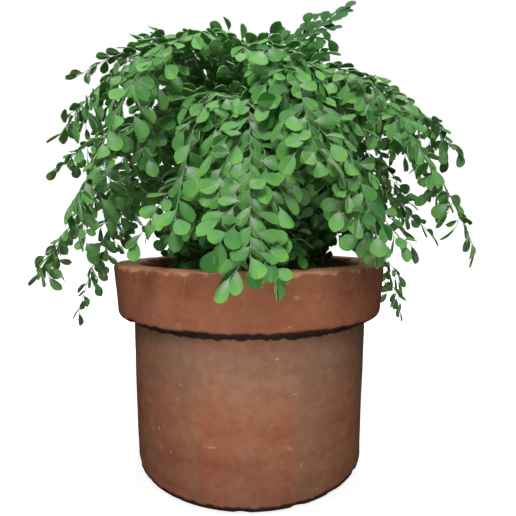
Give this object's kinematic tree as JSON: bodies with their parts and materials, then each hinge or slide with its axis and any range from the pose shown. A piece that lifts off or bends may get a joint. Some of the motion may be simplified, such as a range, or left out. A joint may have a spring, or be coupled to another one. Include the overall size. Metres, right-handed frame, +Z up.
{
  "type": "potted maidenhair fern",
  "caption": "Round clay pot with a tall rim, filled with soil, holding a dome of arching fern fronds with small fan-shaped leaflets.",
  "frame": {"origin": "centre of the pot's flat base, on the pot's axis", "axes": "+Z up along the pot's axis; -Y is the front, as seen in the picture; +X to the viewer's right"},
  "size_m": [0.3062, 0.3007, 0.3422],
  "materials": {
    "terracotta": "matte, weathered",
    "soil": "matte, crumbly",
    "foliage": "soft sheen"
  },
  "bodies": {
    "root": {"pot": "terracotta", "soil": "soil", "frond_sprig_1": "foliage", "frond_upper_1": "foliage", "frond_upper_2": "foliage", "frond_upper_3": "foliage", "frond_upper_4": "foliage", "frond_upper_5": "foliage", "frond_upper_6": "foliage", "frond_upper_7": "foliage", "frond_upper_8": "foliage", "frond_upper_9": "foliage", "frond_upper_10": "foliage", "frond_middle_1": "foliage", "frond_middle_2": "foliage", "frond_middle_3": "foliage", "frond_middle_4": "foliage", "frond_middle_5": "foliage", "frond_middle_6": "foliage", "frond_middle_7": "foliage", "frond_middle_8": "foliage", "frond_middle_9": "foliage", "frond_middle_10": "foliage", "frond_lower_1": "foliage", "frond_lower_2": "foliage", "frond_lower_3": "foliage", "frond_lower_4": "foliage", "frond_lower_5": "foliage", "frond_lower_6": "foliage", "frond_lower_7": "foliage", "frond_lower_8": "foliage", "frond_heart_1": "foliage", "frond_heart_2": "foliage", "frond_heart_3": "foliage", "frond_heart_4": "foliage", "frond_heart_5": "foliage", "frond_heart_6": "foliage", "frond_heart_7": "foliage", "frond_heart_8": "foliage", "frond_skirt_1": "foliage", "frond_skirt_2": "foliage", "frond_skirt_3": "foliage", "frond_skirt_4": "foliage", "frond_skirt_5": "foliage", "frond_skirt_6": "foliage", "frond_skirt_7": "foliage"}
  },
  "joints": []
}
